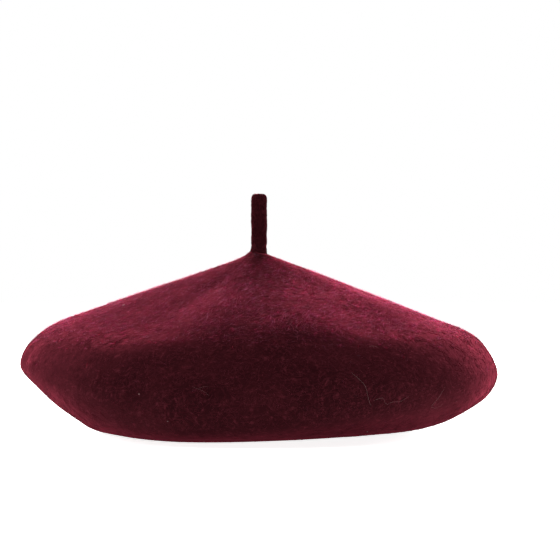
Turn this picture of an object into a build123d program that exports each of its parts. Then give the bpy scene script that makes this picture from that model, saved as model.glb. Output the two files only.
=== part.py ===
from build123d import *
import os
from math import cos, radians, sin

# Beret of felted wool, lifted by its stem so that the crown is drawn up into a low cone.
# Millimetres. The origin is the centre of the head opening, in the plane of its rim.
# +Z points up along the stem, +Y towards the back, where the sweatband is joined.

# Felt body: one seamless piece, made here in three zones so that the crown can sink.
felt = 3.0  # thickness of the felted wool
full_radius = 140.0  # widest radius, at the fold
full_height = 36.8  # height of the widest circle
crown_height = 101.4  # top of the felt, under the stem
crown_flat_radius = 6.5
centre_radius = 84.0  # edge of the zone that sinks as a whole
flex_radius = 122.0  # outer edge of the ring that flexes
zone_gap = 0.2
upper_half = 42.0  # above this height the felt is crown, below it fold and underside

# Stem: a felted cord that flops at its root on two crossing pivots.
stem_radius = 4.7
stem_top = 139.0
socket_clearance = 0.1
cup_rim_drop = 0.85 * stem_radius  # how far a cup's rim lies below its pivot
low_pivot = crown_height + cup_rim_drop
high_pivot = low_pivot + 7.5

# Stem's end inside the crown.
tail_top = crown_height - felt - 0.1
spread_radius = 8.5
spread_bottom = 91.6
spread_top = 93.2
patch_radius = 14.0
patch_bottom = 93.4
patch_thickness = 1.6
tie_count = 8
tie_radius = 0.4

# Lining: two pieces of satin, seamed at the fold.
satin = 0.6
lining_crown_height = 90.5
seam_radius = 133.2
seam_height = 37.0
lining_stitch_count = 72

# Sweatband: a strip bent into a ring and butted at the back.
head_radius = 88.0  # inner wall, for a head of about 56 cm
band = 1.0
band_bottom = 1.0
band_top = 28.0
butt_gap = 1.4
thread_radius = 0.4
rim_stitch_count = 72
rim_stitch_length = 4.5
join_stitch_count = 7

# Ribbon bow at the back and blank label at the back left.
bow_radius = 86.3
bow_height = 33.4
loop_size = (10.0, 2.6, 7.5)
loop_offset = 7.3
knot_size = (4.4, 3.4, 5.6)
label_angle = 128.0
label_width = 18.0
label_bottom = 20.0
label_top = 42.0
label_thickness = 0.5
label_radius = 89.75


def revolved(*edges):
    """Solid of revolution about Z of the closed section that the edges bound."""
    return revolve(make_face(Wire(edges)), axis=Axis.Z)


def inset(curve, distance, steps=28):
    """The curve moved by a distance towards the inside of the hat."""
    points = []
    for step in range(steps + 1):
        place = step / steps
        along = curve % place
        points.append(curve @ place + Vector(along.Z, 0, -along.X) * distance)
    first, last = curve % 0, curve % 1
    return Spline(*points, tangents=(first, last))


def layer(curve, depth, thickness):
    """Shell of revolution that lies a depth inside the curve."""
    outer = inset(curve, depth)
    inner = inset(curve, depth + thickness)
    return revolved(outer, Line(outer @ 1, inner @ 1), inner, Line(inner @ 0, outer @ 0))


def ring(inner_radius, outer_radius, bottom, top):
    """Plain tube from one height to another."""
    height = top - bottom
    tube = Cylinder(outer_radius, height) - Cylinder(inner_radius, height)
    return Pos(0, 0, bottom + height / 2) * tube


def disc(radius, bottom, top):
    return Pos(0, 0, (bottom + top) / 2) * Cylinder(radius, top - bottom)


def thread(start, end, radius):
    """One stitch: a straight run of thread with round ends."""
    run = Vector(*end) - Vector(*start)
    place = Plane(origin=start, z_dir=run)
    rod = extrude(place * Circle(radius), amount=run.length)
    return rod + Pos(*start) * Sphere(radius) + Pos(*end) * Sphere(radius)


def around(count, shape, first=0.0):
    """Separate copies of a shape, evenly spaced about the vertical axis."""
    return Compound([Rot(0, 0, first + 360 * i / count) * shape for i in range(count)])


def write(node, shape):
    os.makedirs("parts", exist_ok=True)
    export_step(shape, f"parts/{node}.step")


# Outline of the felt, from the flat under the stem, over the fold and down to the rim.
outline = Spline(
    (crown_flat_radius, 0, crown_height),
    (42.5, 0, 89.2),
    (98.7, 0, 68.0),
    (127.0, 0, 55.8),
    (full_radius, 0, full_height),
    (131.7, 0, 23.0),
    (113.1, 0, 9.2),
    (91.4, 0, -0.5),
)


def felt_shell():
    wall = layer(outline, 0, felt)
    cap = disc(crown_flat_radius, crown_height - felt, crown_height)
    above_floor = disc(2 * full_radius, 0, 2 * crown_height)
    return (wall + cap) & above_floor


def socket(pivot):
    """Ball-shaped hollow that a stem end turns in."""
    return Pos(0, 0, pivot) * Sphere(stem_radius + socket_clearance)


def felt_zones():
    shell = felt_shell()
    top = 2 * crown_height
    crown = shell & disc(centre_radius, upper_half, top)
    shoulder = shell & ring(centre_radius + zone_gap, flex_radius, upper_half, top)
    brim = shell - disc(flex_radius + zone_gap, upper_half, top)
    return crown - socket(low_pivot), shoulder, brim


def stem_root():
    ball = Pos(0, 0, low_pivot) * Sphere(stem_radius)
    neck = disc(stem_radius, low_pivot, high_pivot - cup_rim_drop)
    return ball + neck - socket(high_pivot)


def stem_shaft():
    ball = Pos(0, 0, high_pivot) * Sphere(stem_radius)
    shaft = disc(stem_radius, high_pivot, stem_top)
    rounded = fillet(shaft.edges().sort_by(Axis.Z)[-1], 2.0)
    return ball + rounded


def stem_tail():
    tail = disc(stem_radius, spread_bottom, tail_top)
    spread = disc(spread_radius, spread_bottom, spread_top)
    return tail + spread


def stem_patch():
    return ring(stem_radius + 0.3, patch_radius, patch_bottom, patch_bottom + patch_thickness)


def stem_stitches():
    height = patch_bottom - tie_radius - 0.05
    inner = spread_radius + tie_radius + 0.1
    outer = patch_radius - 1.5
    return around(tie_count, thread((inner, 0, height), (outer, 0, height), tie_radius))


def lining_top():
    curve = Spline(
        (0, 0, lining_crown_height),
        (40.0, 0, 82.2),
        (98.0, 0, 61.8),
        (123.0, 0, 50.6),
        (seam_radius, 0, seam_height + 0.2),
        tangents=((1, 0, 0), (0.1, 0, -1)),
    )
    return layer(curve, 0, satin)


def lining_side():
    curve = Spline(
        (seam_radius, 0, seam_height - 0.2),
        (119.5, 0, 20.5),
        (104.0, 0, 11.2),
        (91.6, 0, 6.0),
    )
    return layer(curve, 0, satin)


def lining_seam():
    radius = seam_radius - satin - thread_radius - 0.1
    half = radians(180 / lining_stitch_count) * 0.6 * radius
    stitch = thread((radius, -half, seam_height), (radius, half, seam_height), thread_radius)
    return around(lining_stitch_count, stitch)


def sweatband():
    strip = ring(head_radius, head_radius + band, band_bottom, band_top)
    butt = Pos(0, head_radius, (band_bottom + band_top) / 2) * Box(butt_gap, 4, 2 * band_top)
    return strip - butt


def sweatband_seam():
    radius = head_radius + band + thread_radius + 0.15
    half = rim_stitch_length / 2
    height = band_bottom + 1.0
    stitch = thread((radius, -half, height), (radius, half, height), thread_radius)
    return around(rim_stitch_count, stitch, first=180 / rim_stitch_count)


def band_join():
    depth = head_radius + band / 2
    reach = butt_gap / 2 - thread_radius / 2 - 0.1
    spacing = (band_top - band_bottom - 3) / join_stitch_count
    stitches = []
    for i in range(join_stitch_count):
        low = band_bottom + 1.5 + i * spacing
        side = reach if i % 2 else -reach
        start = (side, depth, low)
        end = (-side, depth, low + spacing - thread_radius)
        stitches.append(thread(start, end, thread_radius / 2))
    return Compound(stitches)


def pillow(size, edge):
    """Box with all its edges rounded."""
    return fillet(Box(*size).edges(), edge)


def bow_loop(side):
    return Pos(side * loop_offset, bow_radius, bow_height) * pillow(loop_size, 1.2)


def bow_knot():
    return Pos(0, bow_radius, bow_height) * pillow(knot_size, 1.2)


def bow_ribbon():
    """Two loops either side of the knot, and the tab that is sewn behind the band."""
    loops = [bow_loop(-1), bow_loop(1)]
    tab = Pos(0, label_radius, band_top - 2) * Box(5.0, label_thickness, 12.0)
    return Compound(loops + [tab])


def turned(angle, shape):
    """A shape made at the right-hand side, turned about the vertical axis."""
    return Rot(0, 0, angle) * shape


def size_label():
    height = label_top - label_bottom
    tab = Box(label_thickness, label_width, height)
    return turned(label_angle, Pos(label_radius, 0, label_bottom + height / 2) * tab)


def label_stitches():
    radius = label_radius - label_thickness / 2 - 0.25
    height = band_top + 1.6
    tack = thread((radius, -1.6, height), (radius, 1.6, height), 0.2)
    tacks = [Pos(0, side * 6.5, 0) * tack for side in (-1, 1)]
    return turned(label_angle, Compound(tacks))


felt_crown, felt_shoulder, felt_brim = felt_zones()
pieces = {
    "felt_crown": felt_crown,
    "felt_shoulder": felt_shoulder,
    "felt_brim": felt_brim,
    "stem_root": stem_root(),
    "stem": stem_shaft(),
    "stem_tail": stem_tail(),
    "stem_patch": stem_patch(),
    "stem_stitches": stem_stitches(),
    "lining_top": lining_top(),
    "lining_side": lining_side(),
    "lining_seam": lining_seam(),
    "sweatband": sweatband(),
    "sweatband_seam": sweatband_seam(),
    "band_join": band_join(),
    "bow_ribbon": bow_ribbon(),
    "bow_knot": bow_knot(),
    "size_label": size_label(),
    "label_stitches": label_stitches(),
}
for node, shape in pieces.items():
    write(node, shape)
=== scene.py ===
import math
import bmesh
import bpy
import numpy as np
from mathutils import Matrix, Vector, noise


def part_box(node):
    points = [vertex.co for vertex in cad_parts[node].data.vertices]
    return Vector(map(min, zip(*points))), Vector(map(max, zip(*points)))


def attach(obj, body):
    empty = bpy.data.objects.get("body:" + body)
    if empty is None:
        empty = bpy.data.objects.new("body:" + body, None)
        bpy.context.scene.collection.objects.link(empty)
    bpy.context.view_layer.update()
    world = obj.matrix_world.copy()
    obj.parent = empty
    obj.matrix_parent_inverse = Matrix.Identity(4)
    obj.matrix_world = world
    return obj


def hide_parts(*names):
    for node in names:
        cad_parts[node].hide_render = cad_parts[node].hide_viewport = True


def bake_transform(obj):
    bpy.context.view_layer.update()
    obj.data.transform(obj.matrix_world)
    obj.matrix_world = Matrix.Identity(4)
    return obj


# A burgundy beret of felted wool, lifted by its stem. Metres, in the frame of the CAD model:
# the origin is the centre of the head opening, +Z up along the stem, -Y the front.

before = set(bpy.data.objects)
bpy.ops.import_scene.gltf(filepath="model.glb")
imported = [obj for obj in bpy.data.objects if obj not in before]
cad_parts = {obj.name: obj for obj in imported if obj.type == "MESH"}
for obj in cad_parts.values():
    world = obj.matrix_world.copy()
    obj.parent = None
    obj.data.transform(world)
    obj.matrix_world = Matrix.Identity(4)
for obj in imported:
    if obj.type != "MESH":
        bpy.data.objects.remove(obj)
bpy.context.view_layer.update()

MM = 0.001
SEED = 41

# -------- camera and studio

VIEW_DISTANCE = 1.30
VIEW_HEIGHT = 0.0883
VIEW_ASIDE = 0.0123
VIEW_WIDTH = 0.3293  # width of the picture at the middle of the hat
SENSOR = 36.0
# Each softbox: name, width and height in metres, power in watts, and place. All face LIT_POINT.
SOFTBOXES = (
    ("rear_softbox", (2.4, 0.8), 81, (-0.05, 1.50, 0.73)),
    ("rear_left_softbox", (0.8, 0.7), 34, (-1.35, 0.75, 0.55)),
    ("rear_right_softbox", (0.7, 0.6), 55, (1.15, 1.10, 0.45)),
    ("overhead_softbox", (1.2, 1.2), 11, (0, -0.10, 1.50)),
)
LIT_POINT = (0, 0, 0.06)
ROOM_COLOUR, ROOM_LIGHT = (1.0, 0.95, 0.96, 1), 0.08
FLOOR = -0.8 * MM
TABLE_SIZE = 14
TABLE_LIGHT = 0.42  # share of the table's seen brightness that it sheds on the hat


def make_camera():
    data = bpy.data.cameras.new("camera")
    data.sensor_width = SENSOR
    data.lens = SENSOR * VIEW_DISTANCE / VIEW_WIDTH
    data.clip_start, data.clip_end = 0.05, 50.0
    camera = bpy.data.objects.new("camera", data)
    camera.location = (VIEW_ASIDE, -VIEW_DISTANCE, VIEW_HEIGHT)
    camera.rotation_euler = (math.radians(90), 0, 0)
    bpy.context.scene.collection.objects.link(camera)
    bpy.context.scene.camera = camera


def add_light(name, size, power, place):
    data = bpy.data.lights.new(name, "AREA")
    data.shape = "RECTANGLE"
    data.size, data.size_y = size
    data.energy = power
    lamp = bpy.data.objects.new(name, data)
    lamp.location = place
    away = Vector(place) - Vector(LIT_POINT)
    lamp.rotation_euler = away.to_track_quat("Z", "Y").to_euler()
    bpy.context.scene.collection.objects.link(lamp)


def make_studio():
    """Softboxes in a room that is seen as white, but sheds only a little light."""
    scene = bpy.context.scene
    scene.view_settings.view_transform = "Standard"
    scene.world = bpy.data.worlds.new("studio")
    scene.world.use_nodes = True
    tree = scene.world.node_tree
    tree.nodes.clear()
    mix = tree.nodes.new("ShaderNodeMixShader")
    path = tree.nodes.new("ShaderNodeLightPath")
    tree.links.new(path.outputs["Is Camera Ray"], mix.inputs[0])
    for socket, colour, strength in ((1, ROOM_COLOUR, ROOM_LIGHT), (2, (1, 1, 1, 1), 1.0)):
        room = tree.nodes.new("ShaderNodeBackground")
        room.inputs["Color"].default_value = colour
        room.inputs["Strength"].default_value = strength
        tree.links.new(room.outputs[0], mix.inputs[socket])
    out = tree.nodes.new("ShaderNodeOutputWorld")
    tree.links.new(mix.outputs[0], out.inputs["Surface"])
    for softbox in SOFTBOXES:
        add_light(*softbox)


def make_floor():
    """A pale glowing table, a little dimmer under the hat than round it."""
    bpy.ops.mesh.primitive_plane_add(size=TABLE_SIZE, location=(0, 0, FLOOR))
    floor = bpy.context.object
    floor.name = "light_table"
    m = Nodes("white_acrylic")
    away = m.node("ShaderNodeVectorMath")
    away.operation = "LENGTH"
    m.link(m.place, away.inputs[0])
    seen = m.span(away.outputs["Value"], 0.08, 0.40, 0.90, 1.05)
    direct = m.node("ShaderNodeLightPath").outputs["Is Camera Ray"]
    glow = m.math("MULTIPLY", seen, m.span(direct, 0, 1, TABLE_LIGHT, 1.0))
    m.link(glow, m.shader.inputs["Emission Strength"])
    m.set(Base_Color=(0.9, 0.9, 0.9, 1), Roughness=0.6, Emission_Color=(1, 0.985, 0.985, 1))
    floor.data.materials.append(m.material)


# -------- materials

class Nodes:
    """Short calls for building one material's node tree. Noise scales are features to the metre."""

    def __init__(self, name):
        self.material = bpy.data.materials.new(name)
        self.material.use_nodes = True
        self.tree = self.material.node_tree
        self.shader = self.tree.nodes["Principled BSDF"]
        self.place = self.tree.nodes.new("ShaderNodeTexCoord").outputs["Object"]

    def link(self, source, target):
        self.tree.links.new(source, target)

    def node(self, kind, **inputs):
        made = self.tree.nodes.new(kind)
        for name, value in inputs.items():
            self.feed(made.inputs[name.replace("_", " ")], value)
        return made

    def feed(self, socket, value):
        if isinstance(value, bpy.types.NodeSocket):
            self.link(value, socket)
        elif isinstance(value, tuple) and len(value) == 3 and socket.type == "RGBA":
            socket.default_value = (*value, 1)
        else:
            socket.default_value = value

    def noise(self, scale, vector=None, detail=2.0, roughness=0.5, output="Fac"):
        made = self.node("ShaderNodeTexNoise", Scale=scale, Detail=detail, Roughness=roughness)
        self.link(vector or self.place, made.inputs["Vector"])
        return made.outputs[output]

    def mapping(self, scale, degrees=(0, 0, 0), vector=None):
        made = self.node("ShaderNodeMapping", Scale=scale, Rotation=[math.radians(a) for a in degrees])
        self.link(vector or self.place, made.inputs["Vector"])
        return made.outputs["Vector"]

    def math(self, operation, first, second=0.0):
        made = self.tree.nodes.new("ShaderNodeMath")
        made.operation = operation
        self.feed(made.inputs[0], first)
        self.feed(made.inputs[1], second)
        return made.outputs[0]

    def span(self, value, low, high, to_low=0.0, to_high=1.0):
        made = self.node("ShaderNodeMapRange", Value=value, From_Min=low, From_Max=high,
                         To_Min=to_low, To_Max=to_high)
        made.interpolation_type = "SMOOTHSTEP"
        return made.outputs["Result"]

    def mix(self, factor, first, second):
        made = self.tree.nodes.new("ShaderNodeMix")
        made.data_type = "RGBA"
        for index, value in ((0, factor), (6, first), (7, second)):
            self.feed(made.inputs[index], value)
        return made.outputs[2]

    def warp(self, scale, reach):
        """Place, pushed about by a smooth noise."""
        drift = self.noise(scale, detail=1.0, output="Color")
        shift = self.tree.nodes.new("ShaderNodeVectorMath")
        shift.operation = "MULTIPLY_ADD"
        self.link(drift, shift.inputs[0])
        shift.inputs[1].default_value = (reach, reach, reach)
        self.link(self.place, shift.inputs[2])
        return shift.outputs[0]

    def bump(self, height, strength, distance, below=None):
        made = self.node("ShaderNodeBump", Height=height, Strength=strength, Distance=distance)
        if below is not None:
            self.link(below, made.inputs["Normal"])
        return made.outputs["Normal"]

    def finish(self, colour=None, roughness=None, normal=None, **values):
        """Links what varies, and sets what is the same all over on the shader itself."""
        for name, socket in (("Base Color", colour), ("Roughness", roughness), ("Normal", normal)):
            if socket is not None:
                self.feed(self.shader.inputs[name], socket)
        self.set(**values)
        return self.material

    def set(self, **values):
        for name, value in values.items():
            self.shader.inputs[name.replace("_", " ")].default_value = value


# Colours of the felt, from painted shade in its hollows to painted light on its raised tufts.
FELT_DEEP = (0.027, 0.0054, 0.0074)
FELT_WINE = (0.067, 0.0112, 0.0158)
FELT_ROSE = (0.140, 0.0230, 0.0345)
WOOL_SHEEN = (1.0, 0.11, 0.20, 1)
FIBRE_REACH = (1.0, 0.15, 0.27)  # how far red, green and blue light pass through a fibre


def felt_streaks(m, warped, directions, length, width):
    """Brightest of several crossing sets of fibres, each a noise stretched one way."""
    best = None
    for turn in directions:
        stretched = m.mapping((1 / length, 1 / width, 1 / width), turn, warped)
        strands = m.noise(1.0, stretched, detail=1.5, roughness=0.55)
        best = strands if best is None else m.math("MAXIMUM", best, strands)
    return best


def felt_material():
    m = Nodes("felted_wool")
    warped = m.warp(70.0, 0.012)
    turns = ((0, 10, 25), (20, -15, 95), (-30, 40, 150), (50, 75, 10))
    fibres = felt_streaks(m, warped, turns, 0.0042, 0.0009)
    tufts = m.noise(420.0, warped, detail=3.0, roughness=0.65)
    mats = m.noise(190.0, warped, detail=2.0)
    clouds = m.noise(36.0, detail=2.0)
    # The noises that raise the bump also colour the felt: darker in their hollows as painted shade, rose on
    # raised tufts as painted light, over the felt's own mottled tone.
    wine = m.mix(m.span(fibres, 0.52, 0.76), FELT_DEEP, FELT_WINE)
    fibrous = m.mix(m.span(tufts, 0.50, 0.72, 0.0, 0.70), wine, FELT_ROSE)
    mottled_and_shaded = m.mix(m.span(mats, 0.40, 0.62, 0.65, 0.0), fibrous, FELT_DEEP)
    clouded = m.mix(m.span(clouds, 0.35, 0.65, 0.0, 0.28), mottled_and_shaded, FELT_WINE)
    matted = m.bump(mats, 0.05, 0.0008)
    tufted = m.bump(tufts, 0.06, 0.0004, matted)
    combed = m.bump(fibres, 0.07, 0.0004, tufted)
    return m.finish(clouded, m.span(tufts, 0.3, 0.7, 0.85, 1.0), combed, Sheen_Weight=0.3,
                    Sheen_Roughness=0.4, Sheen_Tint=WOOL_SHEEN, Specular_IOR_Level=0.0)


def fibre_material(name, colour, sheen=0.05, glow=0.0):
    """Single wool fibres: too fine for a pattern of their own, so only their lustre varies."""
    m = Nodes(name)
    lustre = m.span(m.noise(900.0), 0.3, 0.7, 0.75, 0.95)
    return m.finish((*colour, 1), lustre, Sheen_Weight=sheen, Sheen_Roughness=0.4, Sheen_Tint=WOOL_SHEEN,
                    Specular_IOR_Level=0.0, Subsurface_Weight=glow, Subsurface_Scale=0.0004,
                    Subsurface_Radius=FIBRE_REACH)


# -------- mesh helpers

class Mesh:
    """Collects the points and faces of one piece, in metres."""

    def __init__(self):
        self.points, self.faces, self.count = [], [], 0

    def add(self, points, faces):
        points = np.asarray(points, float).reshape(-1, 3)
        self.faces.extend(tuple(int(i) + self.count for i in face) for face in faces)
        self.points.append(points)
        self.count += len(points)

    def object(self, name, material):
        return mesh_object(name, np.concatenate(self.points), self.faces, material)


def mesh_object(name, points, faces, material):
    mesh = bpy.data.meshes.new(name)
    mesh.from_pydata(np.asarray(points).tolist(), [], [tuple(map(int, f)) for f in faces])
    mesh.update()
    mesh.shade_smooth()
    mesh.materials.append(material)
    made = bpy.data.objects.new(name, mesh)
    bpy.context.scene.collection.objects.link(made)
    return made


def recalculate(piece):
    """Turns all faces of a closed mesh outwards."""
    work = bmesh.new()
    work.from_mesh(piece.data)
    bmesh.ops.recalc_face_normals(work, faces=work.faces)
    work.to_mesh(piece.data)
    work.free()
    piece.data.update()


def keep_on(piece, body, node):
    """Fixes a closed piece to its body, in place of a node of the CAD model."""
    recalculate(piece)
    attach(piece, body)
    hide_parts(node)


def grid_faces(around, along, closed_along=False):
    """Quads of a grid that closes round the hat, and also along its section if asked."""
    i = np.arange(around)[:, None]
    j = np.arange(along if closed_along else along - 1)[None, :]
    i2, j2 = (i + 1) % around, (j + 1) % along
    quads = np.stack([i * along + j, i * along + j2, i2 * along + j2, i2 * along + j], axis=-1)
    return quads.reshape(-1, 4)


def tube_faces(rings, count):
    """Quads between neighbouring rings of a tube, each ring with that many points."""
    pairs = [(j, (j + 1) % count) for j in range(count)]
    return [(i * count + j, i * count + k, (i + 1) * count + k, (i + 1) * count + j)
            for i in range(rings - 1) for j, k in pairs]


def flat_ends(rings, count):
    """Faces that close the first and last rings of such a tube."""
    last = (rings - 1) * count
    return [tuple(range(count))[::-1], tuple(range(last, last + count))]


def noise_at(points, size, seed):
    """Smooth noise from -1 to 1 with features of about that size, in metres."""
    offset = Vector((seed * 17.3, seed * 5.1, -seed * 9.7))
    return np.array([noise.noise(Vector(p) / size + offset) for p in np.asarray(points).reshape(-1, 3)])


def unit(vectors):
    return vectors / np.maximum(np.linalg.norm(vectors, axis=-1, keepdims=True), 1e-12)


def bell(x, width):
    return np.exp(-(x / width) ** 2)


def whole_turn(count):
    """Evenly spaced azimuths of one turn, as a column."""
    return np.linspace(0, 2 * np.pi, count, endpoint=False)[:, None]


def length_along(grid):
    """Length run along each row of points of a grid, from its first point."""
    steps = np.linalg.norm(np.diff(grid, axis=1), axis=2)
    return np.concatenate([np.zeros((len(grid), 1)), np.cumsum(steps, axis=1)], axis=1)


def polar(radius, azimuth, height):
    x, y = radius * np.cos(azimuth), radius * np.sin(azimuth)
    return np.stack(np.broadcast_arrays(x, y, height), axis=-1)


# -------- shape of the felt

FELT = 3.0 * MM

# Section of the felt at eight azimuths, counted from +X through the back. Millimetres: heights of
# the crown at three radii, then radius and height of points over the fold and underside to the rim.
CROWN_RADII = (10.0, 42.0, 98.0)
STEM_FOOT = (5.3, 104.2)  # radius and height of the felt where it meets the stem
STEM_FOOT_TILT = 0.8  # it is this much lower at the right, and higher at the left
SECTIONS = {
    0: (101.4, 89.2, 67.2, (129.0, 52.8), (139.8, 33.6), (134.4, 21.2), (118.5, 10.6), (103.0, 4.4)),
    45: (101.2, 89.0, 67.8, (128.0, 54.0), (139.0, 36.0), (132.0, 22.0), (115.0, 10.2), (101.5, 4.2)),
    90: (101.2, 89.0, 68.5, (127.0, 56.0), (138.5, 38.0), (131.0, 23.0), (113.5, 9.8), (101.0, 3.6)),
    135: (101.5, 89.6, 70.0, (126.5, 57.4), (139.0, 40.0), (129.5, 25.0), (111.5, 9.8), (100.5, 3.0)),
    180: (101.8, 89.9, 70.9, (127.8, 57.8), (139.4, 42.4), (126.0, 26.6), (108.5, 12.2), (100.5, 4.0)),
    225: (101.2, 86.0, 61.4, (127.6, 48.0), (138.0, 29.0), (130.0, 13.6), (113.0, 3.4), (101.0, 1.0)),
    270: (100.4, 85.2, 61.7, (117.4, 48.8), (134.0, 28.0), (130.6, 10.0), (114.0, 2.6), (101.0, 0.8)),
    315: (100.8, 86.4, 63.6, (123.2, 50.8), (137.4, 33.0), (133.6, 20.2), (117.0, 8.4), (102.0, 3.0)),
}
RIM_RADIUS = 92.4
RIM_LOWEST = 0.5
RIM_LIFT = 1.5  # the rim hangs this much higher at the right than in the middle, and lower at the left


def rim_height(azimuth):
    """Height of the rim, which hangs a little askew, in millimetres."""
    return RIM_LOWEST + RIM_LIFT * (1 + np.cos(azimuth))


def round_the_hat(values, azimuth):
    """Smooth periodic curve through one value at each of the eight azimuths."""
    spectrum = np.fft.rfft(np.array(values, float)) / len(values)
    result = np.full_like(azimuth, spectrum[0].real)
    for order in range(1, len(spectrum)):
        weight = 1 if order == len(values) // 2 else 2
        result += weight * (spectrum[order] * np.exp(1j * order * azimuth)).real
    return result


def section_points(azimuth):
    """Points of the outer section at each azimuth: array of azimuth, point, (radius, height), in mm."""
    rows = [SECTIONS[a] for a in sorted(SECTIONS)]
    foot_radius, foot_height = STEM_FOOT
    points = [(np.full_like(azimuth, foot_radius), foot_height - STEM_FOOT_TILT * np.cos(azimuth))]
    for index, radius in enumerate(CROWN_RADII):
        heights = round_the_hat([row[index] for row in rows], azimuth)
        points.append((np.full_like(azimuth, radius), heights))
    for index in range(len(CROWN_RADII), len(rows[0])):
        radii = round_the_hat([row[index][0] for row in rows], azimuth)
        heights = round_the_hat([row[index][1] for row in rows], azimuth)
        points.append((radii, heights))
    points.append((np.full_like(azimuth, RIM_RADIUS), rim_height(azimuth)))
    return np.array(points).transpose(2, 0, 1)


FINE_STEPS = 40  # samples between two neighbouring points of a curve


def smooth_curve(points, count):
    """Smooth curves through rows of points, sampled evenly along their length."""
    chord = np.linalg.norm(np.diff(points, axis=1), axis=2) ** 0.5
    knots = np.concatenate([np.zeros((len(points), 1)), np.cumsum(chord, axis=1)], axis=1)
    step = np.diff(knots, axis=1)[..., None]
    secant = np.diff(points, axis=1) / step
    slopes = np.empty_like(points)
    before, after = step[:, :-1], step[:, 1:]
    slopes[:, 1:-1] = (secant[:, :-1] * after + secant[:, 1:] * before) / (before + after)
    slopes[:, 0], slopes[:, -1] = secant[:, 0], secant[:, -1]
    fine = []
    for k in range(points.shape[1] - 1):
        t = np.linspace(0, 1, FINE_STEPS, endpoint=False)[None, :, None]
        h, a, b = step[:, k:k + 1], points[:, k:k + 1], points[:, k + 1:k + 2]
        ta, tb = slopes[:, k:k + 1] * h, slopes[:, k + 1:k + 2] * h
        fine.append((2 * t**3 - 3 * t**2 + 1) * a + (t**3 - 2 * t**2 + t) * ta
                    + (-2 * t**3 + 3 * t**2) * b + (t**3 - t**2) * tb)
    fine.append(points[:, -1:])
    fine = np.concatenate(fine, axis=1)
    along = length_along(fine)
    result = np.empty((len(points), count, points.shape[2]))
    for i in range(len(points)):
        at = np.linspace(0, along[i, -1], count)
        for axis in range(points.shape[2]):
            result[i, :, axis] = np.interp(at, along[i], fine[i, :, axis])
    return result


def turn_between(azimuth, centre):
    """Signed angle from a centre azimuth, in degrees."""
    return (np.degrees(azimuth) - centre + 180) % 360 - 180


# Soft radial pleats of the lifted crown: azimuth, width in degrees, height in mm,
# radius at which each is strongest and its reach along the radius.
PLEATS = (
    (251, 13, 1.7, 96, 60),
    (232, 9, -1.0, 60, 30),
    (194, 9, 1.2, 70, 34),
    (284, 12, 1.0, 88, 34),
    (312, 14, -1.3, 92, 36),
    (336, 11, 1.3, 84, 36),
    (140, 20, 1.2, 86, 40),
    (85, 22, -1.4, 86, 40),
    (35, 18, 1.2, 86, 40),
)
PLEATS_END, PLEATS_FADE = 40, 5  # height where the pleats run out above the fold, in mm
# Short creases across the fold: azimuth, width in degrees, rise in mm.
CREASES = ((187, 2.0, -0.9), (192, 2.4, 0.7), (197, 2.2, -0.9),
           (203, 3.0, 0.5), (352, 3.0, -0.7), (346, 2.5, 0.5))
CREASES_MIDDLE, CREASES_REACH = 38, 13  # height that they run over, in mm
# Lumps of the soft felt, coarse to fine: rise in mm and size in metres.
LUMPS = ((0.8, 0.046), (0.18, 0.017), (0.02, 0.0065))
FELT_AROUND = 360
FELT_OUTER = 170
FELT_INNER = 70


def felt_outer():
    """Outer surface of the felt: array of azimuth, step, xyz in metres."""
    turn = whole_turn(FELT_AROUND)
    section = smooth_curve(section_points(turn[:, 0]), FELT_OUTER) * MM
    radius, height = section[..., 0], section[..., 1]
    for centre, width, rise, strongest, reach in PLEATS:
        share = bell(turn_between(turn, centre), width) * bell(radius / MM - strongest, reach)
        on_crown = 1 / (1 + np.exp(-(height / MM - PLEATS_END) / PLEATS_FADE))
        height = height + rise * MM * share * on_crown
    for centre, width, rise in CREASES:
        share = bell(turn_between(turn, centre), width) * bell(height / MM - CREASES_MIDDLE, CREASES_REACH)
        radius = radius + rise * MM * share
    return relief(polar(radius, turn, height))


def surface_normals(xyz):
    """Outward normals of a grid that closes round the hat."""
    across = np.roll(xyz, -1, axis=0) - np.roll(xyz, 1, axis=0)
    down = np.gradient(xyz, axis=1)
    return unit(np.cross(down, across))


def relief(xyz):
    """The uneven thickness and slack of hand-soft felt."""
    flat = xyz.reshape(-1, 3)
    lumps = sum(rise * noise_at(flat, size, seed) for seed, (rise, size) in enumerate(LUMPS, start=1))
    radius = np.hypot(flat[:, 0], flat[:, 1])
    calm = np.clip((radius - 0.006) / 0.03, 0, 1) * np.clip((flat[:, 2] + 0.002) / 0.012, 0.15, 1)
    normal = surface_normals(xyz).reshape(-1, 3)
    return (flat + normal * (lumps * calm * MM)[:, None]).reshape(xyz.shape)


# The rim's rolled edge dips this much below the middle of its outer and inner faces.
RIM_BULGE = 0.4 * MM


def sink_with_crown(piece):
    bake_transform(piece)


def make_felt(material):
    outer = felt_outer()
    picks = np.linspace(FELT_OUTER - 1, 3, FELT_INNER).round().astype(int)
    inner = outer[:, picks] - surface_normals(outer)[:, picks] * FELT
    edge = (outer[:, -1:] + inner[:, :1]) / 2 - np.array([0, 0, RIM_BULGE])
    loop = np.concatenate([outer, edge, inner], axis=1)
    body = mesh_object("felt_body", loop.reshape(-1, 3),
                       grid_faces(FELT_AROUND, loop.shape[1], closed_along=True), material)
    sink_with_crown(body)
    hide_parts("felt_crown", "felt_shoulder", "felt_brim")
    return outer


# -------- loose wool fibres

FIBRE_POINTS = 4
FIBRE_SIDES = 3
ROOT_DEPTH = 0.06 * MM
SWIRL_SIZE = 0.020  # the wool lies in swirls of about this size, in metres

# Spans of length, width and height above the skin, in mm, of the fibres that lie flat and of
# the two halos of fine standing fibres; and the number of each.
NAP_SPANS, NAP_COUNT = ((3.0, 8.5), (0.12, 0.24), (0.02, 0.095)), 16000
HALO_LOW_SPANS = ((1.8, 3.8), (0.05, 0.085), (0.3, 0.9))
HALO_CROWN_SPANS = ((1.8, 3.8), (0.05, 0.085), (0.5, 1.5))
HALO_COUNT = 16000
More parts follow.
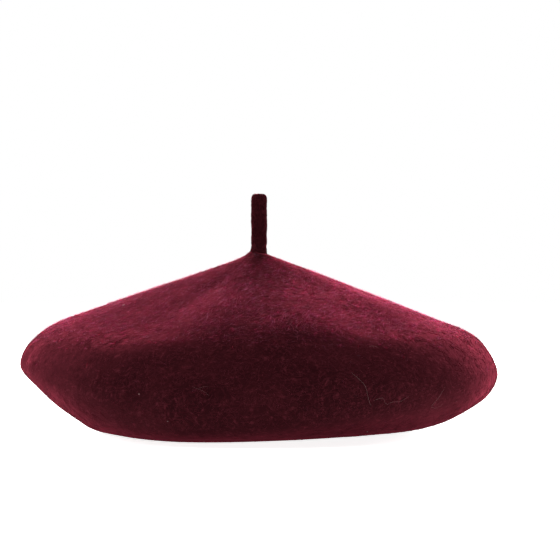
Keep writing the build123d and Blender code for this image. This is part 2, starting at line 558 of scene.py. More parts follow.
# How much each colour of the nap gathers in patches (below 0: between the patches).
PATCH_LEANING = {"deep": -1.6, "wine": 0.6, "rose": 1.6}
SWIRL_TURNS = 2.4 * math.pi  # how far the swirls turn the wool
COMBED = 0.65  # share of that turning which the lifted crown combs out


class Skin:
    """A surface given by a grid that closes round, walked over in grid steps."""

    def __init__(self, grid):
        self.grid = grid
        self.around, self.along = grid.shape[:2]
        self.normals = surface_normals(grid)
        self.step_around = np.linalg.norm(np.roll(grid, -1, axis=0) - grid, axis=-1)
        self.step_along = np.linalg.norm(np.gradient(grid, axis=1), axis=-1)

    def sample(self, values, a, s):
        a = np.mod(a, self.around)
        s = np.clip(s, 0, self.along - 1.001)
        i, j = a.astype(int) % self.around, s.astype(int)
        i2 = (i + 1) % self.around
        u, v = (a - np.floor(a)), s - j
        if values.ndim == 3:
            u, v = u[:, None], v[:, None]
        return ((1 - u) * (1 - v) * values[i, j] + u * (1 - v) * values[i2, j]
                + (1 - u) * v * values[i, j + 1] + u * v * values[i2, j + 1])

    def scatter(self, count, chance, random):
        """Random places, evenly by area times the given chance of each grid cell."""
        weight = (self.step_around * self.step_along * chance).ravel()
        cells = random.choice(len(weight), count, p=weight / weight.sum())
        a = cells // self.along + random.random(count)
        s = cells % self.along + random.random(count)
        return a, s


def fibre_faces(count):
    """Triangles of tapered three-sided fibres with pointed ends."""
    per = (FIBRE_POINTS - 2) * FIBRE_SIDES + 2
    root, tip = 0, per - 1
    faces = []
    for side in range(FIBRE_SIDES):
        after = (side + 1) % FIBRE_SIDES
        faces.append((root, 1 + after, 1 + side))
        last = 1 + (FIBRE_POINTS - 3) * FIBRE_SIDES
        faces.append((tip, last + side, last + after))
        for ring in range(FIBRE_POINTS - 3):
            low, high = 1 + ring * FIBRE_SIDES, 1 + (ring + 1) * FIBRE_SIDES
            faces.append((low + side, low + after, high + after))
            faces.append((low + side, high + after, high + side))
    return (np.arange(count)[:, None, None] * per + np.array(faces)[None]).reshape(-1, 3)


def make_fibres(name, material, skin, count, seed, spans, curl, chance, standing=False, swirl=True):
    """Fibres lying on the skin, or with one end standing off it."""
    length, width, lift = spans
    random = np.random.default_rng(SEED + seed)
    a, s = skin.scatter(count, chance, random)
    long = random.uniform(*length, count) * MM
    half = random.uniform(*width, count) * MM / 2
    rise = random.uniform(*lift, count) * MM
    bend = random.normal(0, curl, count)
    if swirl:
        place = skin.sample(skin.grid, a, s)
        flow = noise_at(place, SWIRL_SIZE, seed % 3 + 5) * SWIRL_TURNS
        on_crown = np.clip((place[:, 2] / MM - 42) / 20, 0, 1)
        heading = flow * (1 - COMBED * on_crown) + random.normal(0, 0.7, count)
    else:
        heading = np.pi / 2 + random.normal(0, 0.45, count)
    places = []
    pace = long / (FIBRE_POINTS - 1)
    for k in range(FIBRE_POINTS):
        along = k / (FIBRE_POINTS - 1)
        height = rise * along**1.4 if standing else rise * math.sin(math.pi * along)
        normal = skin.sample(skin.normals, a, s)
        places.append(skin.sample(skin.grid, a, s) + unit(normal) * (height - ROOT_DEPTH)[:, None])
        turned = heading + bend * along
        a = a + pace * np.cos(turned) / np.maximum(skin.sample(skin.step_around, a, s), 1e-5)
        s = s + pace * np.sin(turned) / np.maximum(skin.sample(skin.step_along, a, s), 1e-5)
    line = np.stack(places, axis=1)
    tangent = unit(np.gradient(line, axis=1))
    up = unit(np.repeat(normal[:, None], FIBRE_POINTS, axis=1))
    side = unit(np.cross(tangent, up))
    up = np.cross(side, tangent)
    rings = [line[:, :1]]
    for k in range(1, FIBRE_POINTS - 1):
        for corner in range(FIBRE_SIDES):
            angle = 2 * math.pi * corner / FIBRE_SIDES + math.pi / 2
            reach = half[:, None] * (math.cos(angle) * side[:, k] + math.sin(angle) * up[:, k])
            rings.append((line[:, k] + reach)[:, None])
    rings.append(line[:, -1:])
    points = np.concatenate(rings, axis=1).reshape(-1, 3)
    return mesh_object(name, points, fibre_faces(count), material)


def make_nap(outer, colours, halo_low, halo_crown):
    """Fibres that lie on the felt, none on the underside of the rim, and two halos that stand off it."""
    skin = Skin(outer)
    height = outer[..., 2] / MM
    off_rim = np.clip((height - 2.5) / 6, 0.05, 1)
    flat = outer.reshape(-1, 3)
    patches = (0.6 * noise_at(flat, 0.0045, 41) + 0.6 * noise_at(flat, 0.0130, 42)).reshape(height.shape)
    for index, (name, material) in enumerate(colours.items()):
        chance = off_rim * np.clip(1 + PATCH_LEANING[name] * patches, 0.12, 3)
        sink_with_crown(make_fibres("felt_nap_" + name, material, skin, NAP_COUNT, 11 + index, NAP_SPANS,
                                    0.9, chance))
    # The crown's halo is coloured lighter and pinker than the low one: painted light from the lamps behind.
    on_crown = np.clip((height - 50) / 14, 0.01, 1)
    halos = (("low", halo_low, off_rim, HALO_LOW_SPANS), ("crown", halo_crown, on_crown, HALO_CROWN_SPANS))
    for index, (name, finish, chance, spans) in enumerate(halos):
        sink_with_crown(make_fibres("felt_halo_" + name, finish, skin, HALO_COUNT, 31 + index, spans,
                                    0.9, chance, standing=True))


# Pale hairs caught in the wool: radius in mm, then azimuth in degrees and height in mm along each.
CAUGHT_HAIRS = (
    (0.045, (292.6, 39.6), (294.2, 36.1), (295.3, 32.7), (296.1, 25.8), (297.0, 21.5)),
    (0.040, (297.6, 24.6), (298.7, 25.6), (299.9, 25.7), (301.0, 22.5), (302.4, 23.2), (304.8, 24.1),
     (306.9, 26.3)),
    (0.028, (317.7, 29.8), (316.4, 24.4), (315.4, 20.1), (316.4, 18.9), (318.5, 19.3), (319.3, 20.9)),
    (0.030, (255.1, 32.6), (256.5, 31.1), (257.9, 29.5), (259.3, 27.4)),
    (0.025, (256.5, 31.1), (257.7, 32.2), (258.8, 32.2)),
    (0.035, (300.9, 52.3), (302.1, 52.5), (303.4, 51.9)),
)
# Specks of pale lint: azimuth and height of each.
CAUGHT_SPECKS = ((199.1, 73.9), (242.5, 28.0), (249.2, 13.8), (301.9, 6.2))
CAUGHT_LIFT = 0.3
SPECK_RADIUS = 0.26 * MM


def on_felt(outer, normals, azimuth, height, lift):
    """A point just above the felt at an azimuth in degrees and a height in mm."""
    column = azimuth / 360 * FELT_AROUND
    low, share = int(column) % FELT_AROUND, column % 1
    step = np.argmax(outer[low, :, 2] < height * MM)
    row = outer[:, step] + normals[:, step] * lift * MM
    return row[low] * (1 - share) + row[(low + 1) % FELT_AROUND] * share


def make_caught_hairs(outer, finish):
    normals = surface_normals(outer)
    shape = Mesh()
    for radius, *hair in CAUGHT_HAIRS:
        path = [on_felt(outer, normals, azimuth, height, CAUGHT_LIFT) for azimuth, height in hair]
        thread(shape, path, radius * MM)
    for azimuth, height in CAUGHT_SPECKS:
        path = [on_felt(outer, normals, azimuth + shift, height + shift, CAUGHT_LIFT)
                for shift in (-0.15, 0.0, 0.15)]
        thread(shape, path, SPECK_RADIUS)
    hairs = shape.object("caught_hairs", finish)
    recalculate(hairs)
    sink_with_crown(hairs)


# -------- stem

STEM_TOP = 139.0
STEM_SEAM = 109.2  # height where the stem's foot meets its cord
STEM_STRAIGHT = 4.46  # the foot's right side keeps this radius, and runs straight down
# Height and radius along the foot, which flares into the crown, and along the cord.
STEM_FOOT_PROFILE = ((100.6, 9.6), (102.0, 7.6), (103.6, 6.2), (105.4, 5.1), (107.2, 4.6),
                     (STEM_SEAM, STEM_STRAIGHT))
STEM_CORD_PROFILE = ((STEM_SEAM, STEM_STRAIGHT), (114.0, 4.38), (120.0, 4.48), (127.0, 4.36),
                     (133.0, 4.46), (137.0, 4.3), (138.5, 3.4), (STEM_TOP, 1.6))
STEM_AROUND = 48
STEM_NAP_SPANS = ((1.6, 4.2), (0.09, 0.16), (0.08, 0.40))
# Each part: name, profile, rings, two bodies and the heights where a bend between them would start
# and end (neither is used here), the node that it replaces, and its number of loose fibres.
STEM_PARTS = (
    ("stem_foot", STEM_FOOT_PROFILE, 26, ("crown_centre", "stem_root"), (0.1025, 0.1090), "stem_root", 900),
    ("stem_cord", STEM_CORD_PROFILE, 90, ("stem_root", "stem_shaft"), (0.1094, 0.1164), "stem", 2600),
)


def stem_skin(profile, along):
    """Uneven round surface of a part of the stem, from the heights and radii of its profile."""
    line = smooth_curve(np.array([[(r, z) for z, r in profile]], float), along)[0] * MM
    azimuth = whole_turn(STEM_AROUND)
    flare = 0.08 + 0.92 * np.clip((1 - np.cos(azimuth)) / 1.6, 0, 1)
    flare = np.where(line[None, :, 1] < STEM_SEAM * MM, flare, 1)
    radius = STEM_STRAIGHT * MM + (line[None, :, 0] - STEM_STRAIGHT * MM) * flare
    pinch = 0.5 * MM * bell(turn_between(azimuth, 0), 35) * bell(line[None, :, 1] / MM - 107.6, 0.7)
    grid = polar(radius - pinch, azimuth, line[None, :, 1])
    flat = grid.reshape(-1, 3)
    lumps = (0.30 * noise_at(flat, 0.006, 14) + 0.14 * noise_at(flat, 0.0022, 15)).reshape(grid.shape[:2])
    out = polar(1, azimuth, 0)
    near_seam = np.clip(np.abs(line[:, 1] / MM - STEM_SEAM) / 2.0, 0, 1)[None]
    return grid + out * (lumps * near_seam * MM)[..., None]


def capped(name, grid, material):
    """Closed piece from a tube grid, with a point in the middle of each end."""
    around, along = grid.shape[:2]
    grid = grid[:, ::-1]
    points = np.concatenate([grid.reshape(-1, 3), grid[:, 0].mean(0)[None], grid[:, -1].mean(0)[None]])
    first, last = around * along, around * along + 1
    faces = [tuple(f) for f in grid_faces(around, along)]
    for i in range(around):
        after = (i + 1) % around
        faces.append((first, i * along, after * along))
        faces.append((last, after * along + along - 1, i * along + along - 1))
    return mesh_object(name, points, faces, material)


def make_stem(material, fibre):
    for index, (name, profile, along, bodies, span, node, hairs) in enumerate(STEM_PARTS):
        grid = stem_skin(profile, along)
        body = capped(name, grid, material)
        everywhere = np.ones(grid.shape[:2])
        nap = make_fibres(name + "_nap", fibre, Skin(grid[:, ::-1]), hairs, 51 + index, STEM_NAP_SPANS,
                          0.7, everywhere, swirl=False)
        for piece in (body, nap):
            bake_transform(piece)
        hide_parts(node)


# -------- lining

SATIN = 0.5 * MM
LINING_AROUND = 240
LINING_CENTRE = 40  # inside this radius, in mm, the crown panel is a slack cone
LINING_TOP = 90.2 * MM
SEAM_HEIGHT = 37.0
# Depth in mm under the felt's outer surface at shares of each panel's length, down to the rim.
CROWN_DEPTHS = ((0, 5.0), (0.6, 4.8), (0.85, 5.6), (1, 6.4))
SIDE_DEPTHS = ((0, 6.4), (0.2, 5.6), (0.8, 4.4), (1, 3.7))
CONE_ROWS, CROWN_ROWS, SIDE_ROWS = 20, 72, 46
GATHERS = 68  # small pleats where the panels are eased into their seam
CROWN_GATHER, SIDE_GATHER = 2.6, 1.6
CLOTH_FRAMES = 26
# A light satin. Shrinking by less than nothing makes it larger than its place.
CLOTH = {"quality": 6, "mass": 0.10, "tension_stiffness": 12, "compression_stiffness": 8,
         "shear_stiffness": 4, "bending_stiffness": 0.06, "shrink_min": -0.035}
LARGEST_SAG = 4.5
SEAM_STITCHES = 240


def satin_material():
    m = Nodes("lining_satin")
    weave = m.mapping((1, 1, 1), (0, 0, 45))
    ribs = m.node("ShaderNodeTexWave", Scale=900.0, Distortion=0.6, Detail=1.0, Detail_Scale=2.0)
    m.link(weave, ribs.inputs["Vector"])
    slubs = m.noise(1.0, m.mapping((900, 160, 900)))
    cloudy = m.noise(45.0, detail=3.0)
    colour = m.mix(m.span(slubs, 0.35, 0.70), (0.030, 0.0050, 0.0085), (0.062, 0.0105, 0.0170))
    shaded = m.mix(m.span(cloudy, 0.35, 0.65, 0.0, 0.35), colour, (0.020, 0.0034, 0.0060))
    woven = m.bump(ribs.outputs["Fac"], 0.25, 0.00015)
    rumpled = m.bump(m.noise(210.0, detail=2.0), 0.35, 0.0008, woven)
    return m.finish(shaded, m.span(slubs, 0.3, 0.7, 0.30, 0.46), rumpled, Sheen_Weight=0.25,
                    Sheen_Roughness=0.3, Sheen_Tint=(0.9, 0.35, 0.45, 1), Anisotropic=0.5)


def seam_row(outer):
    """Step of the felt's grid at each azimuth that lies level with the lining's seam."""
    return np.argmax(outer[..., 2] < SEAM_HEIGHT * MM, axis=1).astype(float)


def lining_grid(outer, first, last, rows, depths):
    """Grid inside the felt between two steps of its grid, at depths in mm that vary along it."""
    skin = Skin(outer)
    a = np.linspace(0, FELT_AROUND, LINING_AROUND, endpoint=False)
    start = np.interp(a, np.arange(FELT_AROUND), first)
    stop = np.interp(a, np.arange(FELT_AROUND), last)
    grid = []
    for k in range(rows):
        share = k / (rows - 1)
        s = start + (stop - start) * share
        depth = np.interp(share, *zip(*depths)) * MM
        grid.append(skin.sample(skin.grid, a, s) - unit(skin.sample(skin.normals, a, s)) * depth)
    return np.stack(grid, axis=1)


def crown_panel(outer):
    """The round panel of the lining: a cone at the centre, then close under the felt to the seam."""
    radius = np.hypot(outer[..., 0], outer[..., 1])
    centre_row = np.argmax(radius > LINING_CENTRE * MM, axis=1).astype(float)
    under = lining_grid(outer, centre_row, seam_row(outer), CROWN_ROWS, CROWN_DEPTHS)
    turn = whole_turn(LINING_AROUND)
    edge = under[:, :1]
    reach = np.linspace(0.02, 1, CONE_ROWS, endpoint=False)[None, :]
    height = LINING_TOP + (edge[..., 2] - LINING_TOP) * reach**1.15
    cone = polar(reach * np.hypot(edge[..., 0], edge[..., 1]), turn, height)
    return np.concatenate([cone, under], axis=1)


def gather(grid, depth, from_seam):
    """Pleats that run in from the seam and fade away."""
    turn = whole_turn(len(grid))
    wander = 2.2 * noise_at(polar(0.05, turn[:, 0], 0.0), 0.021, 21)[:, None]
    wave = np.cos(GATHERS * turn + wander) * 0.7 + 0.3 * np.cos(2.3 * GATHERS * turn - 2 * wander)
    fade = np.exp(-(from_seam / 0.020) ** 1.4) * np.clip(from_seam / 0.002, 0.25, 1)
    return grid - surface_normals(grid) * (depth * (1 - wave) / 2 * fade * MM)[..., None]


def mesh_points(mesh):
    points = np.empty(len(mesh.vertices) * 3)
    mesh.vertices.foreach_get("co", points)
    return points.reshape(-1, 3)


def hang_by_cloth(piece):
    """Lets the panel hang slack between its seam and its centre, and keeps it off the felt above."""
    start = mesh_points(piece.data)
    rows = len(start) // LINING_AROUND
    row = np.arange(len(start)) % rows
    pins = piece.vertex_groups.new(name="sewn")
    pins.add([int(i) for i in np.flatnonzero((row >= rows - 2) | (row < 3))], 1.0, "REPLACE")
    cloth = piece.modifiers.new("cloth", "CLOTH")
    for name, value in CLOTH.items():
        setattr(cloth.settings, name, value)
    cloth.settings.vertex_group_mass = pins.name
    cloth.collision_settings.use_collision = False
    cloth.point_cache.frame_start, cloth.point_cache.frame_end = 1, CLOTH_FRAMES
    scene = bpy.context.scene
    scene.frame_start, scene.frame_end = 1, CLOTH_FRAMES
    for number in range(1, CLOTH_FRAMES + 1):
        scene.frame_set(number)
    settled = piece.evaluated_get(bpy.context.evaluated_depsgraph_get())
    move = mesh_points(settled.data) - start
    piece.modifiers.remove(cloth)
    scene.frame_set(1)
    upward = surface_normals(start.reshape(LINING_AROUND, rows, 3)).reshape(-1, 3)
    out = np.sum(move * upward, axis=1, keepdims=True)
    move = move - upward * (out - np.clip(out, -LARGEST_SAG * MM, 0.6 * MM))
    piece.data.vertices.foreach_set("co", (start + move).ravel())
    piece.data.update()


def thicken(piece, thickness):
    """Gives a one-sided sheet its thickness, as a closed mesh."""
    skin = piece.modifiers.new("thickness", "SOLIDIFY")
    skin.thickness = thickness
    skin.offset = -1
    smoother = piece.modifiers.new("smooth", "SMOOTH")
    smoother.factor, smoother.iterations = 0.5, 2
    graph = bpy.context.evaluated_depsgraph_get()
    made = bpy.data.meshes.new_from_object(piece.evaluated_get(graph))
    piece.modifiers.clear()
    piece.vertex_groups.clear()
    piece.data = made


def make_crown_lining(outer, satin):
    crown = crown_panel(outer)
    rows = crown.shape[1]
    crown = gather(crown, CROWN_GATHER, length_along(crown[:, ::-1])[:, ::-1])
    faces = [tuple(f) for f in grid_faces(LINING_AROUND, rows)]
    faces.append(tuple(i * rows for i in range(LINING_AROUND)))
    panel = mesh_object("lining_crown", crown.reshape(-1, 3), faces, satin)
    hang_by_cloth(panel)
    thicken(panel, SATIN)
    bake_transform(panel)
    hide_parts("lining_top")
    return panel


def make_side_lining(outer, satin):
    """Panel from the seam to the rim. Also gives the line of its seam."""
    rim_row = np.full(FELT_AROUND, FELT_OUTER - 4.0)
    side = lining_grid(outer, seam_row(outer), rim_row, SIDE_ROWS, SIDE_DEPTHS)
    side = gather(side, SIDE_GATHER, length_along(side))
    panel = mesh_object("lining_underside", side.reshape(-1, 3), grid_faces(LINING_AROUND, SIDE_ROWS), satin)
    thicken(panel, SATIN)
    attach(panel, "beret")
    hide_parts("lining_side")
    return panel, side[:, 0]


def make_lining_seam(line, finish):
    """Running stitches along the seam: each shows for most of a step and dips in at its ends."""
    paths = []
    steps = np.arange(-8, LINING_AROUND + 8)
    closed = line[steps % LINING_AROUND]
    inward = -unit(line * np.array([1, 1, 0]))
    for at in np.arange(SEAM_STITCHES) * LINING_AROUND / SEAM_STITCHES:
        path = []
        for shift, lift in ((-0.42, -0.15), (-0.2, 0.45), (0.2, 0.45), (0.42, -0.15)):
            place = np.array([np.interp(at + shift, steps, closed[:, axis]) for axis in range(3)])
            path.append(place + inward[int(at) % LINING_AROUND] * lift * MM)
        paths.append(path)
    sew("lining_seam_stitches", "beret", "lining_seam", paths, 0.24 * MM, finish)


THREAD_SIDES = 6


def thread(shape, path, radius):
    """A closed round thread that thins a little at its ends."""
    path = np.asarray(path, float)
    line = smooth_curve(path[None], 2 * len(path) + 1)[0]
    tangent = unit(np.gradient(line, axis=0))
    side = unit(np.cross(tangent, (0.13, 0.27, 0.95)))
    up = np.cross(side, tangent)
    share = np.linspace(0, 1, len(line))
    size = radius * np.clip(np.minimum(share, 1 - share) * 6 + 0.45, 0.45, 1)
    angle = whole_turn(THREAD_SIDES)
    round_it = np.cos(angle) * side[:, None] + np.sin(angle) * up[:, None]
    rings = line[:, None] + size[:, None, None] * round_it
    tips = [line[:1] - tangent[:1] * radius * 0.3, line[-1:] + tangent[-1:] * radius * 0.3]
    faces = tube_faces(len(line), THREAD_SIDES)
    last = (len(line) - 1) * THREAD_SIDES
    first_tip = len(line) * THREAD_SIDES
    for i in range(THREAD_SIDES):
        j = (i + 1) % THREAD_SIDES
        faces += [(first_tip, j, i), (first_tip + 1, last + i, last + j)]
    shape.add(np.concatenate([rings.reshape(-1, 3), *tips]), faces)


def sew(name, body, node, paths, radius, finish):
    """One piece of stitches: a thread along each path."""
    shape = Mesh()
    for path in paths:
        thread(shape, path, radius)
    keep_on(shape.object(name, finish), body, node)


# -------- sweatband

BAND_INNER = 88.0
BAND_THICKNESS = 1.0
BAND_BOTTOM = 0.9
BAND_TOP = 28.0
BUTT_GAP = 1.4
BACK = math.radians(90)
BAND_AROUND = 420
BAND_SECTION = 60
RIM_STITCHES = 190
JOIN_STITCHES = 14
JOIN_HEIGHT = 22.5
RIBS_PER_WAVE = 6.2832  # a wave texture shows this many ribs for each unit of its scale


def leather_material():
    m = Nodes("band_leather")
    warped = m.warp(120.0, 0.003)
    pebbles = m.node("ShaderNodeTexVoronoi", Scale=950.0)
    pebbles.feature = "SMOOTH_F1"
    m.link(warped, pebbles.inputs["Vector"])
    creases = m.noise(1.0, m.mapping((60, 60, 420), (0, 0, 0), warped), detail=3.0)
    patches = m.noise(48.0, detail=3.0)
    colour = m.mix(m.span(patches, 0.32, 0.68), (0.012, 0.0070, 0.0060), (0.030, 0.0170, 0.0130))
    worn = m.mix(m.span(creases, 0.55, 0.75, 0.0, 0.5), colour, (0.050, 0.029, 0.021))
    grain = m.bump(pebbles.outputs["Distance"], 0.45, 0.0003)
    creased = m.bump(creases, 0.4, 0.0006, grain)
    return m.finish(worn, m.span(patches, 0.3, 0.7, 0.38, 0.58), creased, Specular_IOR_Level=0.45)


def thread_material(name, dark, light):
    m = Nodes(name)
    twist = m.node("ShaderNodeTexWave", Scale=700.0, Distortion=1.5, Detail=1.0)
    m.link(m.mapping((1, 1, 1), (35, 20, 40)), twist.inputs["Vector"])
    plies = twist.outputs["Fac"]
    fluff = m.noise(1500.0)
    colour = m.mix(m.span(plies, 0.2, 0.8), dark, light)
    return m.finish(colour, m.span(fluff, 0.3, 0.7, 0.55, 0.75), m.bump(plies, 0.6, 0.0002),
                    Sheen_Weight=0.3, Sheen_Tint=(*light, 1))


def ribbon_material(name, dark, light, ribs_per_metre):
    """Woven tape with close cross ribs."""
    m = Nodes(name)
    ribs = m.node("ShaderNodeTexWave", Scale=ribs_per_metre / RIBS_PER_WAVE, Distortion=0.3, Detail=1.0)
    ribs.bands_direction = "Z"
    m.link(m.place, ribs.inputs["Vector"])
    threads = m.noise(1.0, m.mapping((2600, 2600, 500)))
    colour = m.mix(m.math("MULTIPLY", ribs.outputs["Fac"], m.span(threads, 0.2, 0.8, 0.5, 1.0)), dark, light)
    woven = m.bump(ribs.outputs["Fac"], 0.5, 0.0002)
    return m.finish(colour, m.span(threads, 0.3, 0.7, 0.45, 0.7), m.bump(threads, 0.3, 0.0001, woven),
                    Sheen_Weight=0.2, Sheen_Roughness=0.35)


def band_section(azimuth):
    """Closed outline of the sweatband at one azimuth, radius and height in mm: a rolled top edge."""
    low = rim_height(azimuth) + BAND_BOTTOM
    wave = 0.35 * math.sin(5 * azimuth + 1.0) + 0.22 * math.sin(13 * azimuth)
    top = rim_height(azimuth) - RIM_LOWEST - RIM_LIFT + BAND_TOP + wave
    inner, outer = BAND_INNER + 0.1, BAND_INNER + BAND_THICKNESS + 0.1
    middle = (inner + outer) / 2
    lean = 0.35 * math.sin(3 * azimuth + 0.6)
    bulge = 0.35 + lean * 0.3
    return [(inner + 0.15, low), (inner, low + 0.5), (inner + 0.25, low + 9), (inner + bulge, low + 18),
            (inner + 0.1, top - 1.9), (inner - 0.25, top - 1.0), (inner - 0.1, top - 0.2), (middle, top),
            (outer + 0.25, top - 0.2), (outer + 0.4, top - 1.0), (outer + 0.1, top - 2.0),
            (outer + bulge, low + 18), (outer + 0.25, low + 9), (outer, low + 0.5), (outer - 0.15, low)]


def make_sweatband(leather):
    half_gap = BUTT_GAP / 2 / BAND_INNER
    turns = np.linspace(BACK + half_gap, BACK + 2 * math.pi - half_gap, BAND_AROUND)
    sections = np.array([band_section(t) for t in turns]) * MM
    closed = np.concatenate([sections, sections[:, :1]], axis=1)
    fine = smooth_curve(closed, BAND_SECTION + 1)[:, :-1]
    points = polar(fine[..., 0], turns[:, None], fine[..., 1]).reshape(-1, 3)
    faces = tube_faces(BAND_AROUND, BAND_SECTION) + flat_ends(BAND_AROUND, BAND_SECTION)
    band = mesh_object("sweatband_leather", points, faces, leather)
    keep_on(band, "beret", "sweatband")


def make_rim_stitches(finish):
    """Slanting stitches over the rim, which hold the band to the felt."""
    paths = []
    for k in range(RIM_STITCHES):
        at = 2 * math.pi * k / RIM_STITCHES
        rim = rim_height(at)
        lean = 0.42 * 2 * math.pi / RIM_STITCHES
        route = ((-1.0, 92.9, rim + 1.7), (-0.5, 92.4, rim + 0.1), (0.0, 90.6, rim - 0.35),
                 (0.5, 88.4, rim + 0.2), (0.9, 87.8, rim + 1.3), (1.0, 88.2, rim + 2.6))
        paths.append([polar(r, at + lean * turn, z) * MM for turn, r, z in route])
    sew("sweatband_stitching", "beret", "sweatband_seam", paths, 0.27 * MM, finish)


def make_join_stitches(finish):
    """Zigzag that draws the band's two ends together."""
    paths = []
    for k in range(JOIN_STITCHES):
        low = BAND_BOTTOM + 3.6 + k * JOIN_HEIGHT / JOIN_STITCHES
        slant = 1 if k % 2 else -1
        route = [(slant * share * 2.0, 88.15 - 0.5 * (1 - share**2), low + (share + 1) * 0.8)
                 for share in (-1, -0.6, 0, 0.6, 1)]
        paths.append(np.array(route) * MM)
    sew("band_join_stitching", "beret", "band_join", paths, 0.24 * MM, finish)


# -------- bow and label

def ribbon(shape, path, across, width, thickness):
    """A flat ribbon along a path: across gives its width direction at each point."""
    path = smooth_curve(np.asarray(path, float)[None], 8 * len(path))[0]
    tangent = unit(np.gradient(path, axis=0))
    across = np.asarray(across, float)
    across = unit(across - tangent * (tangent @ across)[:, None])
    face = np.cross(tangent, across)
    shares = np.linspace(-0.5, 0.5, 9)
    crown = 0.06 * width * (1 - (2 * shares) ** 2)
    middles = [path + across * share * width + face * rise for share, rise in zip(shares, crown)]
    upper = [middle + face * (thickness / 2) for middle in middles]
    lower = [middle - face * (thickness / 2) for middle in reversed(middles)]
    loop = np.stack(upper + lower, axis=1)
    rings, count = loop.shape[:2]
    shape.add(loop.reshape(-1, 3), tube_faces(rings, count) + flat_ends(rings, count))


# The bow, in mm from the middle of its knot: right loop, right tail, wrap of the knot and its fold.
LOOP = ((0.6, 0.0, 0.0), (4.0, 1.3, 0.3), (9.5, 1.7, 0.5), (11.9, 0.1, 0.2), (9.5, -1.4, -0.2),
        (4.0, -1.0, -0.4), (0.6, 0.0, -0.3))
TAIL = ((0.4, -0.7, -1.0), (2.6, -1.0, -2.6), (5.2, -0.6, -4.6), (7.4, -0.2, -6.8))
WRAP = ((0.0, -2.0, 2.2), (0.0, -2.3, 0.0), (0.0, -1.9, -2.3), (0.0, 0.1, -2.9), (0.0, 1.7, -2.2),
        (0.0, 2.0, 0.0), (0.0, 1.6, 2.3), (0.0, -0.1, 2.9), (0.0, -1.7, 2.4))
WRAP_FOLD = ((0.0, -1.5, 2.0), (0.2, -2.75, 0.3), (0.0, -1.6, -2.2))
# The tab that holds it, in mm from the origin: up behind the band and over its top edge.
TAB = ((0, 89.85, 18.0), (0, 89.9, 24.0), (0, 89.5, 29.5), (0, 87.4, 32.5), (0, 86.6, 33.6))
RIBBON = 0.35 * MM
WRAP_RIBBON = 0.5 * MM


def make_bow(ribbon_finish):
    """A small ribbon bow over the join of the band, on a tab sewn behind it."""
    low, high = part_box("bow_knot")
    knot = np.array((low + high) / 2)
    loops = Mesh()
    for side in (-1, 1):
        mirror = np.array([side, 1, 1]) * MM
        ribbon(loops, knot + np.array(LOOP) * mirror, (0, 0, 1), 6.0 * MM, RIBBON)
        ribbon(loops, knot + np.array(TAIL) * mirror, (side * 0.6, 0, 0.8), 4.6 * MM, RIBBON)
    ribbon(loops, np.array(TAB) * MM, (1, 0, 0), 6.0 * MM, RIBBON)
    keep_on(loops.object("bow_loops", ribbon_finish), "beret", "bow_ribbon")
    wrap = Mesh()
    ribbon(wrap, knot + np.array(WRAP) * MM, (1, 0, 0), 4.2 * MM, WRAP_RIBBON)
    ribbon(wrap, knot + np.array(WRAP_FOLD) * MM, (1, 0, 0.1), 2.4 * MM, WRAP_RIBBON)
    keep_on(wrap.object("bow_centre", ribbon_finish), "beret", "bow_knot")


LABEL_AZIMUTH = math.radians(128)
LABEL_WIDTH = 18.0
LABEL_THICKNESS = 0.5
LABEL_FACE = 89.45  # radius of its inner face
LABEL_BEND = 89.75  # radius that it is bent to


def make_label(tape, finish):
    """A blank folded tape label, tucked behind the band and standing above it."""
    low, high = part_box("size_label")
    half = LABEL_WIDTH / 2
    rows, columns = 40, 26
    height = np.linspace(low[2] / MM, high[2] / MM, rows)[:, None]
    share = np.linspace(-1, 1, columns)[None, :]
    lean = 0.9 * np.maximum(0, (height - 30) / 12) ** 2
    curl = 0.45 * share**2 * np.maximum(0, (height - 28) / 14)
    turn = LABEL_AZIMUTH + share * half / LABEL_BEND
    radius = LABEL_FACE - lean - curl
    sides = [polar(r, turn, height).reshape(-1, 3) * MM for r in (radius, radius + LABEL_THICKNESS)]
    total = rows * columns
    quads = [(r * columns + c, r * columns + c + 1, (r + 1) * columns + c + 1, (r + 1) * columns + c)
             for r in range(rows - 1) for c in range(columns - 1)]
    left, right = [r * columns for r in range(rows)], [(r + 1) * columns - 1 for r in range(rows)]
    bottom, top = list(range(1, columns - 1)), list(range(total - columns + 1, total - 1))
    rim = left + top + right[::-1] + bottom[::-1]
    faces = quads + [tuple(total + i for i in reversed(q)) for q in quads]
    for a, b in zip(rim, rim[1:] + rim[:1]):
        faces.append((a, b, total + b, total + a))
    label = mesh_object("blank_label", np.concatenate(sides), faces, tape)
    keep_on(label, "beret", "size_label")
    paths = []
    for side in (-1, 1):
        for step in range(3):
            turn = LABEL_AZIMUTH + side * (half - 1.4) / LABEL_BEND
            z = BAND_TOP + 1.2 + step * 1.5
            route = ((-1.0, 89.6, z), (-0.5, 88.9, z + 0.1), (0.5, 88.9, z + 0.2), (1.0, 89.6, z + 0.3))
            paths.append([polar(r, turn + x / LABEL_BEND, h) * MM for x, r, h in route])
    sew("label_tacks", "beret", "label_stitches", paths, 0.2 * MM, finish)


# -------- stem's end inside the crown

# Height and radius along each turned piece, and the radius and height of each tie's points.
TAIL_PROFILE = ((101.0, 4.4), (97.0, 4.5), (94.6, 4.7), (93.3, 5.8), (92.5, 8.2), (91.9, 8.3),
                (91.6, 6.0), (91.7, 2.0))
PATCH_PROFILE = ((95.0, 5.0), (95.05, 12.6), (94.7, 13.8), (94.2, 14.0), (93.6, 13.7), (93.4, 12.4),
                 (93.45, 5.0))
TIE_ROUTE = ((7.4, 92.6), (8.8, 92.1), (10.6, 92.7), (12.3, 93.0), (12.9, 93.6))
TIES = 8
TURNED_AROUND = 120


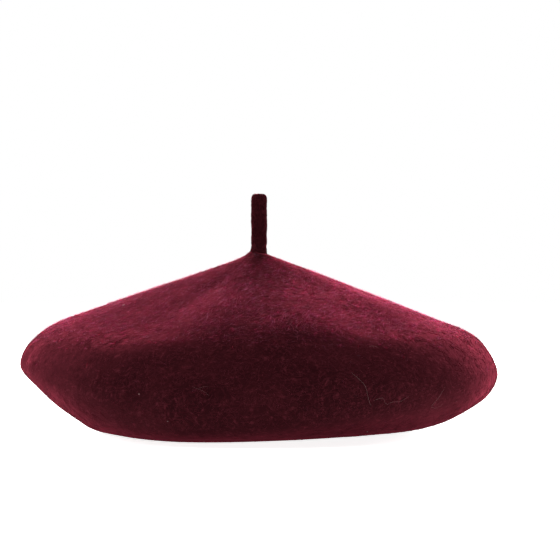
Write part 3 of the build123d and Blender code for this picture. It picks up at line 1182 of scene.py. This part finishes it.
def turned(name, profile, along, ripple, material, waves=22):
    """Closed round piece from a profile of (height, radius) in mm, with radial ripples."""
    line = smooth_curve(np.array([[(r, z) for z, r in profile]], float), along)[0] * MM
    azimuth = whole_turn(TURNED_AROUND)
    wander = noise_at(polar(0.02, azimuth[:, 0], 0.0), 0.006, 33)[:, None]
    radius = line[None, :, 0] * (1 + ripple * np.sin(waves * azimuth + 4 * wander) + 0.5 * ripple * wander)
    return capped(name, polar(radius, azimuth, line[None, :, 1]), material)


def make_anchor(felt_finish, finish):
    tail = turned("stem_tail_spread", TAIL_PROFILE, 44, 0.035, felt_finish)
    keep_on(tail, "crown_centre", "stem_tail")
    patch = turned("stem_backing_patch", PATCH_PROFILE, 40, 0.006, felt_finish, waves=9)
    keep_on(patch, "crown_centre", "stem_patch")
    turns = [2 * math.pi * k / TIES + 0.1 for k in range(TIES)]
    paths = [[polar(r, turn + 0.012 * i, z) * MM for i, (r, z) in enumerate(TIE_ROUTE)] for turn in turns]
    sew("stem_ties", "crown_centre", "stem_stitches", paths, 0.38 * MM, finish)


make_camera()
make_studio()
make_floor()

felt = felt_material()
wool = {"deep": fibre_material("wool_fibre_deep", (0.052, 0.0080, 0.0122)),
        "wine": fibre_material("wool_fibre_wine", (0.078, 0.0114, 0.0170)),
        "rose": fibre_material("wool_fibre_rose", (0.112, 0.0172, 0.0275))}
felt_surface = make_felt(felt)
# The crown's halo has a lighter pink colour than the low halo of the same wool: painted backlight.
make_nap(felt_surface, wool, fibre_material("wool_halo_low", (0.11, 0.022, 0.033), sheen=0.3),
         fibre_material("wool_halo_crown_painted_light", (0.150, 0.039, 0.065), sheen=0.4, glow=1.0))
make_caught_hairs(felt_surface, fibre_material("pale_hair", (0.25, 0.15, 0.15)))
make_stem(felt, wool["wine"])

satin = satin_material()
wine_thread = thread_material("wine_thread", (0.018, 0.0030, 0.0048), (0.075, 0.0120, 0.0200))
crown_lining = make_crown_lining(felt_surface, satin)
side_lining, seam_line = make_side_lining(felt_surface, satin)
make_lining_seam(seam_line, wine_thread)
make_sweatband(leather_material())
make_rim_stitches(wine_thread)
make_join_stitches(wine_thread)
make_bow(ribbon_material("bow_ribbon", (0.010, 0.0030, 0.0040), (0.050, 0.0100, 0.0150), 1500))
make_label(ribbon_material("blank_tape", (0.42, 0.38, 0.30), (0.72, 0.68, 0.58), 2100),
           thread_material("pale_thread", (0.30, 0.26, 0.20), (0.62, 0.58, 0.50)))
make_anchor(felt, wine_thread)
